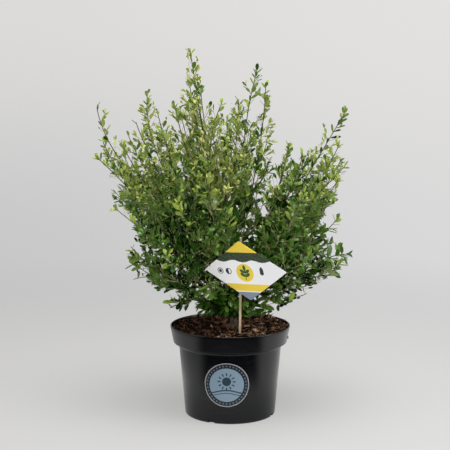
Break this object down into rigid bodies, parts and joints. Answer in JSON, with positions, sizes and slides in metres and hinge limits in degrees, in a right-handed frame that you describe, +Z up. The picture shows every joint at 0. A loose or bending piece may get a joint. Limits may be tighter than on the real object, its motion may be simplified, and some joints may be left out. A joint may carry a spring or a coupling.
{
  "type": "potted japanese holly",
  "caption": "Upright evergreen shrub with small oval leaves in a round black nursery pot, with a diamond stick label and a round pot sticker.",
  "frame": {"origin": "centre of the pot's flat underside, on the floor", "axes": "+Z up along the pot's axis, -Y towards the plant's front, where the label and the sticker face"},
  "size_m": [0.4851, 0.3995, 0.7011],
  "materials": {
    "pot_plastic": "semi-gloss moulded",
    "compost": "moist and crumbly",
    "bark": "rough bark",
    "leaves": "waxy leaves",
    "stick_wood": "bare bamboo",
    "card": "printed card",
    "sticker": "printed film"
  },
  "bodies": {
    "root": {"bough_back_centre": "bark", "bough_back_left": "bark", "bough_back_low": "bark", "bough_back_right": "bark", "bough_front_left": "bark", "bough_front_left_low": "bark", "bough_front_right": "bark", "bough_left_high": "bark", "bough_left_low": "bark", "bough_left_mid": "bark", "bough_right_high": "bark", "bough_right_low": "bark", "bough_right_mid": "bark", "bough_top_left": "bark", "bough_top_right": "bark", "foliage_back_centre": "leaves", "foliage_back_left": "leaves", "foliage_back_left_low": "leaves", "foliage_back_left_mid": "leaves", "foliage_back_low": "leaves", "foliage_back_right": "leaves", "foliage_back_right_high": "leaves", "foliage_back_right_low": "leaves", "foliage_front_centre": "leaves", "foliage_front_left": "leaves", "foliage_front_left_low": "leaves", "foliage_front_left_mid": "leaves", "foliage_front_low": "leaves", "foliage_front_right": "leaves", "foliage_front_right_low": "leaves", "foliage_heart": "leaves", "foliage_left_high": "leaves", "foliage_left_high_front": "leaves", "foliage_left_high_outer": "leaves", "foliage_left_low": "leaves", "foliage_left_low_back": "leaves", "foliage_left_low_front": "leaves", "foliage_left_mid_back": "leaves", "foliage_left_mid_front": "leaves", "foliage_left_outer": "leaves", "foliage_right_high": "leaves", "foliage_right_high_front": "leaves", "foliage_right_high_inner": "leaves", "foliage_right_low": "leaves", "foliage_right_low_back": "leaves", "foliage_right_low_front": "leaves", "foliage_right_mid": "leaves", "foliage_right_mid_back": "leaves", "foliage_top": "leaves", "foliage_top_back": "leaves", "foliage_top_front": "leaves", "foliage_top_right": "leaves", "foliage_top_right_back": "leaves", "label_card": "card", "label_stick": "stick_wood", "pot": "pot_plastic", "pot_sticker": "sticker", "soil": "compost", "trunk": "bark"}
  },
  "joints": []
}
